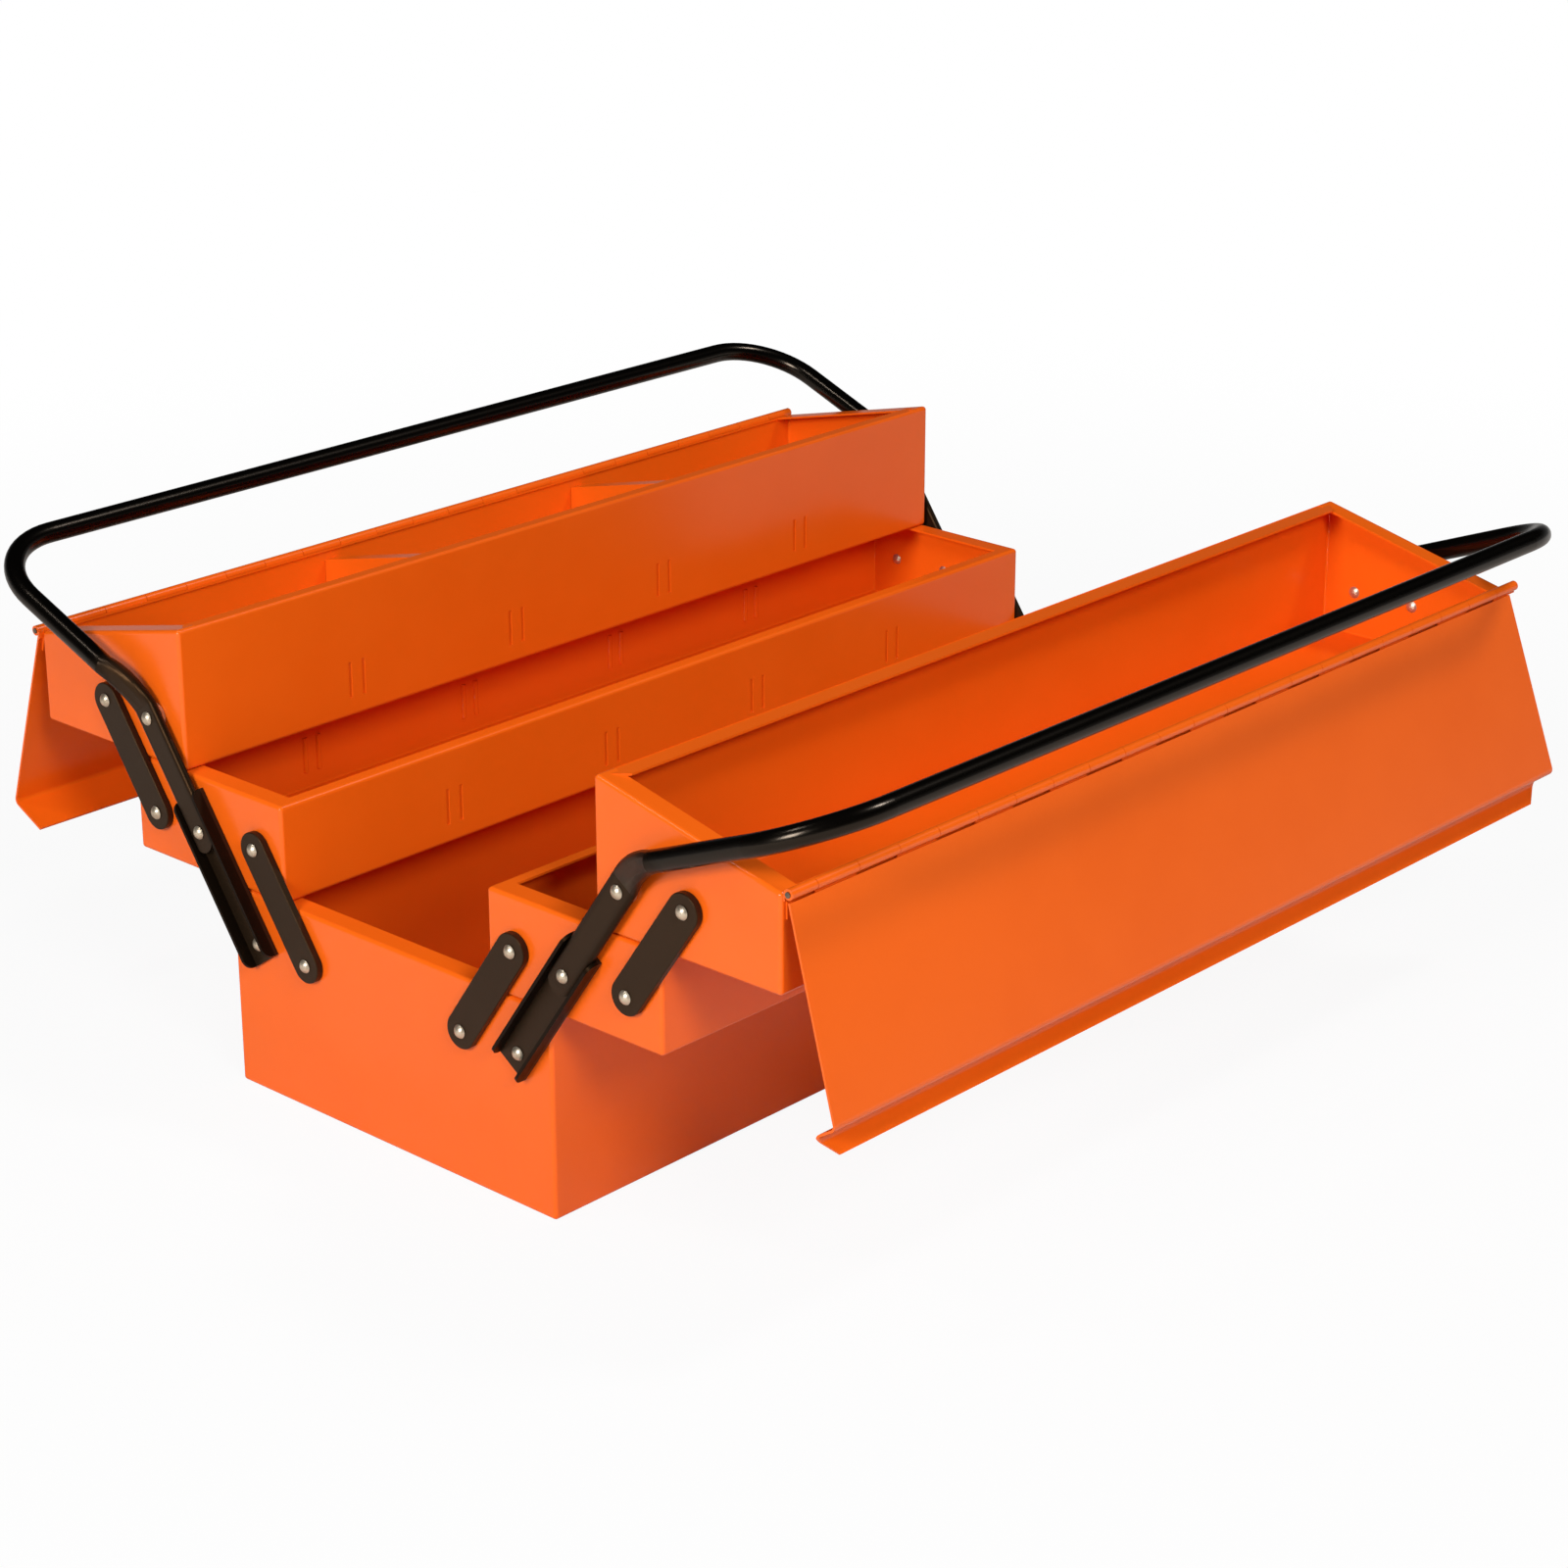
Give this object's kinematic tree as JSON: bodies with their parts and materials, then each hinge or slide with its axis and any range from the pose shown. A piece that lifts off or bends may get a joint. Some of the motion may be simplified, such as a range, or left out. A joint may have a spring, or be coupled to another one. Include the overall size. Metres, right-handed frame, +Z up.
{
  "type": "cantilever toolbox",
  "caption": "Open cantilever steel toolbox: deep base tray, middle and top trays swinging out on links, hinged lids and U-shaped tube handles.",
  "frame": {"origin": "centre of the base tray's underside, which is also the middle of the open box", "axes": "+X along the length, +Y across the width towards the side whose lid has no cap strip, +Z up"},
  "size_m": [0.5291, 0.5172, 0.2215],
  "materials": {
    "orange": "satin powder coat",
    "black": "gloss paint",
    "dark": "satin paint",
    "steel": "plated"
  },
  "bodies": {
    "base": {"base_tray": "orange", "base_handle_rivets": "steel", "base_link_rivets": "steel"},
    "near_handle": {"near_handle": "black", "near_handle_channels": "dark", "near_handle_spacers": "steel"},
    "near_middle_tray": {"near_middle_tray": "orange", "near_middle_handle_rivets": "steel", "near_middle_link_rivets": "steel"},
    "near_top_tray": {"near_top_tray": "orange", "near_top_handle_rivets": "steel", "near_top_link_rivets": "steel", "near_hinge_tray_leaf": "orange", "near_hinge_pin": "steel"},
    "near_lid": {"near_lid": "orange", "near_hinge_lid_leaf": "orange"},
    "near_lower_links": {"near_lower_links": "dark"},
    "near_upper_links": {"near_upper_links": "dark"},
    "far_handle": {"far_handle": "black", "far_handle_channels": "dark", "far_handle_spacers": "steel"},
    "far_middle_tray": {"far_middle_tray": "orange", "far_middle_handle_rivets": "steel", "far_middle_link_rivets": "steel"},
    "far_top_tray": {"far_top_tray": "orange", "far_top_handle_rivets": "steel", "far_top_link_rivets": "steel", "far_hinge_tray_leaf": "orange", "far_hinge_pin": "steel", "far_top_tray_dividers": "orange"},
    "far_lid": {"far_lid": "orange", "far_hinge_lid_leaf": "orange"},
    "far_lower_links": {"far_lower_links": "dark"},
    "far_upper_links": {"far_upper_links": "dark"}
  },
  "joints": [
    {"name": "near_handle_swing", "type": "hinge", "parent": "base", "child": "near_handle", "pos_m": [0, -0.082, 0.0715], "axis": [-1, 0, 0], "range_deg": [0, 69.6]},
    {"name": "near_middle_tray_pivot", "type": "hinge", "parent": "near_handle", "child": "near_middle_tray", "pos_m": [0, -0.11348, 0.1168], "axis": [-1, 0, 0], "range_deg": [-69.61, 0.01]},
    {"name": "near_top_tray_pivot", "type": "hinge", "parent": "near_handle", "child": "near_top_tray", "pos_m": [0, -0.14497, 0.1621], "axis": [-1, 0, 0], "range_deg": [-69.61, 0.01]},
    {"name": "near_lower_links_swing", "type": "hinge", "parent": "base", "child": "near_lower_links", "pos_m": [0, -0.0489, 0.0715], "axis": [-1, 0, 0], "range_deg": [-0.01, 69.61]},
    {"name": "near_upper_links_swing", "type": "hinge", "parent": "near_middle_tray", "child": "near_upper_links", "pos_m": [0, -0.14617, 0.1168], "axis": [-1, 0, 0], "range_deg": [-0.01, 69.61]},
    {"name": "near_lid_hinge", "type": "hinge", "parent": "near_top_tray", "child": "near_lid", "pos_m": [0, -0.22854, 0.18252], "axis": [-1, 0, 0], "range_deg": [0, 238.41]},
    {"name": "far_handle_swing", "type": "hinge", "parent": "base", "child": "far_handle", "pos_m": [0, 0.082, 0.0715], "axis": [1, 0, 0], "range_deg": [0, 69.6]},
    {"name": "far_middle_tray_pivot", "type": "hinge", "parent": "far_handle", "child": "far_middle_tray", "pos_m": [0, 0.11348, 0.1168], "axis": [1, 0, 0], "range_deg": [-69.61, 0.01]},
    {"name": "far_top_tray_pivot", "type": "hinge", "parent": "far_handle", "child": "far_top_tray", "pos_m": [0, 0.14497, 0.1621], "axis": [1, 0, 0], "range_deg": [-69.61, 0.01]},
    {"name": "far_lower_links_swing", "type": "hinge", "parent": "base", "child": "far_lower_links", "pos_m": [0, 0.0489, 0.0715], "axis": [1, 0, 0], "range_deg": [-0.01, 69.61]},
    {"name": "far_upper_links_swing", "type": "hinge", "parent": "far_middle_tray", "child": "far_upper_links", "pos_m": [0, 0.14617, 0.1168], "axis": [1, 0, 0], "range_deg": [-0.01, 69.61]},
    {"name": "far_lid_hinge", "type": "hinge", "parent": "far_top_tray", "child": "far_lid", "pos_m": [0, 0.22854, 0.18252], "axis": [1, 0, 0], "range_deg": [0, 242.91]}
  ],
  "couplings": [
    {"joint": "near_middle_tray_pivot", "follows": "near_handle_swing", "ratio": -1},
    {"joint": "near_top_tray_pivot", "follows": "near_handle_swing", "ratio": -1},
    {"joint": "near_lower_links_swing", "follows": "near_handle_swing", "ratio": 1},
    {"joint": "near_upper_links_swing", "follows": "near_handle_swing", "ratio": 1},
    {"joint": "near_lid_hinge", "follows": "near_handle_swing", "ratio": 3.4252},
    {"joint": "far_middle_tray_pivot", "follows": "far_handle_swing", "ratio": -1},
    {"joint": "far_top_tray_pivot", "follows": "far_handle_swing", "ratio": -1},
    {"joint": "far_lower_links_swing", "follows": "far_handle_swing", "ratio": 1},
    {"joint": "far_upper_links_swing", "follows": "far_handle_swing", "ratio": 1},
    {"joint": "far_lid_hinge", "follows": "far_handle_swing", "ratio": 3.4899}
  ]
}
